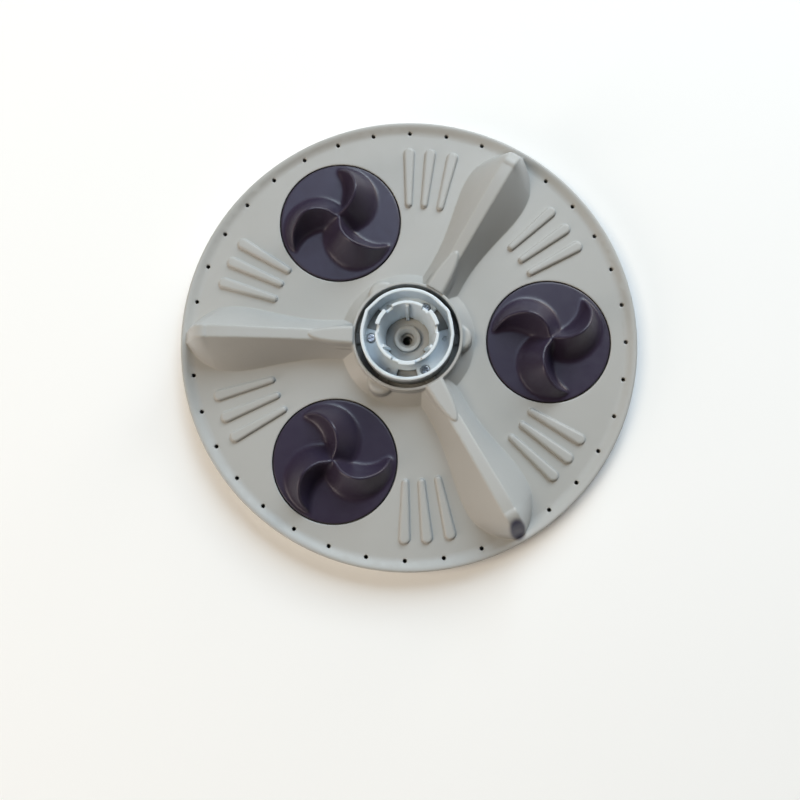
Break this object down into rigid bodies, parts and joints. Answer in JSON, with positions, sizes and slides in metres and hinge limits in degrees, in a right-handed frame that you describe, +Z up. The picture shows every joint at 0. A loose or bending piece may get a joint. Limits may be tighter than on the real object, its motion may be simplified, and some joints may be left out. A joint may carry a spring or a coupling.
{
  "type": "washing machine agitator",
  "caption": "Round moulded agitator plate for a top loading washing machine, with tall radial fins, low ribs, a rim of drain holes, a screwed hub ring and free spinning swirl impellers.",
  "frame": {"origin": "on the drive axis, at the foot of the skirt on which the plate rests", "axes": "+Z up along the drive axis, +X towards the impeller seen at the right of the picture, +Y towards the top of the picture"},
  "size_m": [0.38, 0.38, 0.052],
  "materials": {
    "plate_plastic": "satin",
    "impeller_plastic": "semi-gloss",
    "ring_plastic": "satin",
    "screw_steel": "plated",
    "insert_metal": "machined",
    "bush_plastic": "plain"
  },
  "bodies": {
    "plate": {"wash_plate": "plate_plastic", "drive_insert": "insert_metal", "hub_ring": "ring_plastic", "hub_ring_screw_1": "screw_steel", "hub_ring_screw_2": "screw_steel", "hub_ring_screw_3": "screw_steel", "impeller_bush_1": "bush_plastic", "impeller_bush_2": "bush_plastic", "impeller_bush_3": "bush_plastic"},
    "spinner_1": {"impeller_1": "impeller_plastic", "impeller_washer_1": "screw_steel", "impeller_screw_1": "screw_steel"},
    "spinner_2": {"impeller_2": "impeller_plastic", "impeller_washer_2": "screw_steel", "impeller_screw_2": "screw_steel"},
    "spinner_3": {"impeller_3": "impeller_plastic", "impeller_washer_3": "screw_steel", "impeller_screw_3": "screw_steel"}
  },
  "joints": [
    {"name": "impeller_spin_1", "type": "hinge", "parent": "plate", "child": "spinner_1", "pos_m": [0.1171, 0, 0], "axis": [0, 0, 1], "continuous": true},
    {"name": "impeller_spin_2", "type": "hinge", "parent": "plate", "child": "spinner_2", "pos_m": [-0.05855, 0.10141, 0], "axis": [0, 0, 1], "continuous": true},
    {"name": "impeller_spin_3", "type": "hinge", "parent": "plate", "child": "spinner_3", "pos_m": [-0.05855, -0.10141, 0], "axis": [0, 0, 1], "continuous": true}
  ]
}
